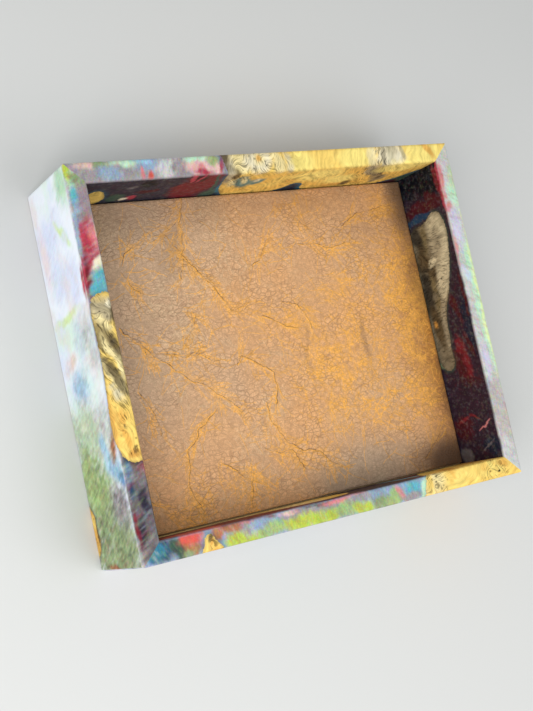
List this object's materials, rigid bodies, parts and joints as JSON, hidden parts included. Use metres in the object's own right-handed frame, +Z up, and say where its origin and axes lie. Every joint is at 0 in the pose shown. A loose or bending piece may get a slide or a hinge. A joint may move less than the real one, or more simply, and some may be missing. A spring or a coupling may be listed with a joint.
{
  "type": "dice tray",
  "caption": "Shallow rectangular tray of mitred burl-and-resin rails round a leather-covered floor, to roll dice in.",
  "frame": {"origin": "centre of the footprint, on the surface that the tray stands on", "axes": "+X along the tray's length, +Y towards the back rail, +Z up out of the tray"},
  "size_m": [0.2794, 0.2286, 0.062],
  "materials": {
    "cast_resin": "satin-polished casting resin with red, blue, teal and green colour-shift pigment",
    "burl_wood": "stabilised burl, sanded and oiled flush with the resin",
    "tongue_beech": "planed, glued",
    "birch_plywood": "sanded, bare",
    "fibreboard": "bare",
    "tan_leather": "waxed pull-up leather, creased, brown with orange-gold lighter areas",
    "suede": "thin napped lining"
  },
  "bodies": {
    "root": {"back_rail_resin": "cast_resin", "front_rail_resin": "cast_resin", "left_rail_resin": "cast_resin", "right_rail_resin": "cast_resin", "back_rail_burl_slab": "burl_wood", "back_rail_burl_knot": "burl_wood", "front_rail_burl_slab": "burl_wood", "front_rail_burl_streak": "burl_wood", "front_rail_burl_knot": "burl_wood", "left_rail_burl_slab": "burl_wood", "left_rail_burl_chip": "burl_wood", "right_rail_burl_slab": "burl_wood", "mitre_tongue_back_left": "tongue_beech", "mitre_tongue_back_right": "tongue_beech", "mitre_tongue_front_left": "tongue_beech", "mitre_tongue_front_right": "tongue_beech", "base_panel": "birch_plywood", "liner_board": "fibreboard", "leather_lining": "tan_leather", "underside_lining": "suede"}
  },
  "joints": []
}
